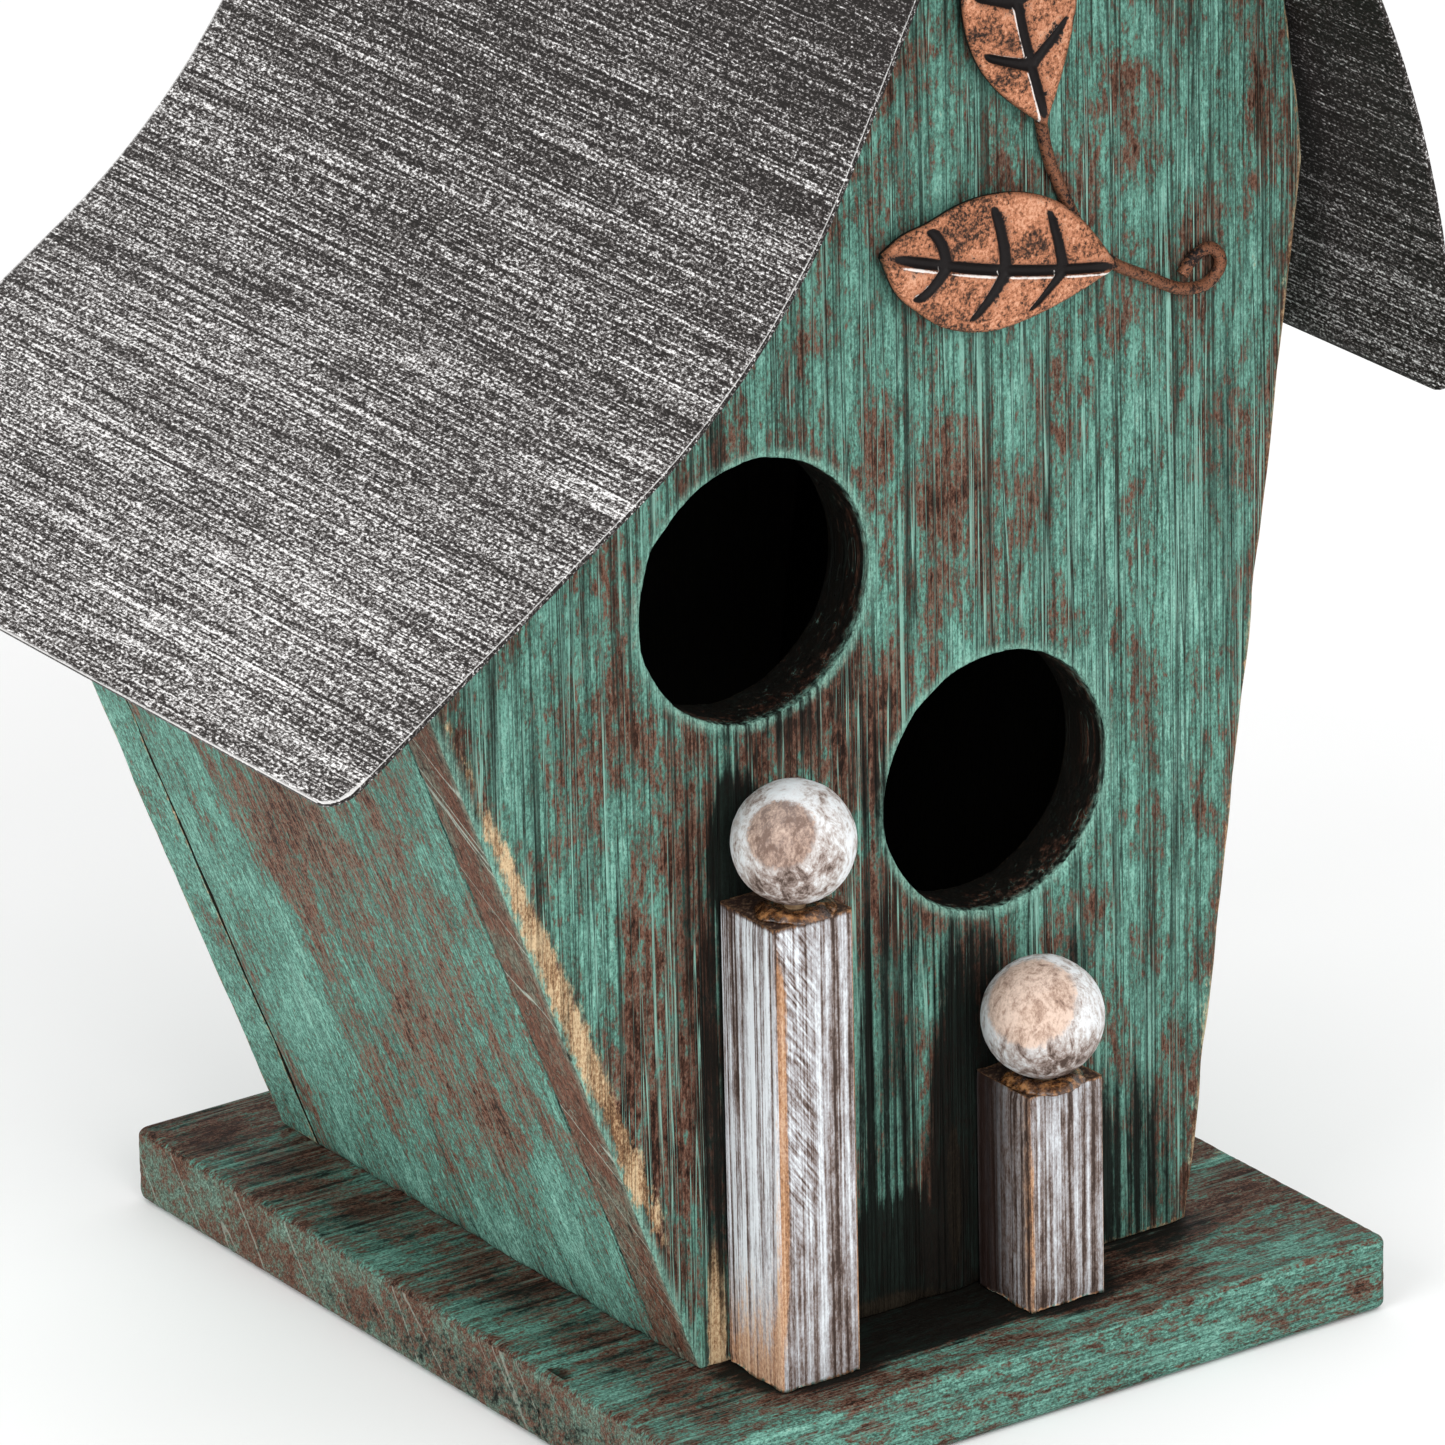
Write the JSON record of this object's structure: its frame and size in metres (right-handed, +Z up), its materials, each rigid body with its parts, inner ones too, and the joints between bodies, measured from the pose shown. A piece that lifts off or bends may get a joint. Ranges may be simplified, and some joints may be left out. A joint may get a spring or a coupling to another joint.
{
  "type": "birdhouse",
  "caption": "Leaning wooden birdhouse with round entrance holes, ball-topped perch posts, a bent sheet-metal roof, a copper leaf vine and a swinging clean-out cover.",
  "frame": {"origin": "middle of the base plate's underside", "axes": "+Z up, the front with the entrance holes faces -Y, +X to the right seen from the front"},
  "size_m": [0.1871, 0.1446, 0.2929],
  "materials": {
    "green_wood": "distressed green paint over brown wood",
    "whitewashed_wood": "whitewash rubbed over brown wood",
    "bare_wood": "plain sawn",
    "roof_metal": "black with dry-brushed silver",
    "copper": "copper with dark patina",
    "glue": "dried brown glue",
    "steel": "dull zinc"
  },
  "bodies": {
    "house": {"base_front_plank": "green_wood", "base_rear_plank": "green_wood", "base_screws": "steel", "post_screws": "steel", "front_panel": "green_wood", "back_panel": "green_wood", "left_side_panel": "green_wood", "right_side_panel": "green_wood", "front_panel_brads": "steel", "back_panel_brads": "steel", "left_roof_sheet": "roof_metal", "right_roof_sheet": "roof_metal", "ridge_cap": "roof_metal", "ridge_cap_nails": "roof_metal", "ridge_beam": "bare_wood", "hanging_eye": "steel", "tall_post": "whitewashed_wood", "short_post": "whitewashed_wood", "tall_post_ball": "whitewashed_wood", "short_post_ball": "whitewashed_wood", "tall_post_glue_bead": "glue", "short_post_glue_bead": "glue", "ball_dowels": "bare_wood", "cover_pivot_screw": "steel", "cover_keeper_screw": "steel", "upper_leaf": "copper", "lower_leaf": "copper", "vine_wire": "copper", "ornament_pins": "steel"},
    "cleanout_door": {"cleanout_cover": "green_wood"}
  },
  "joints": [
    {"name": "cleanout_swing", "type": "hinge", "parent": "house", "child": "cleanout_door", "pos_m": [-0.001, 0.0612, 0.07], "axis": [0, -1, 0], "range_deg": [0, 120]}
  ]
}
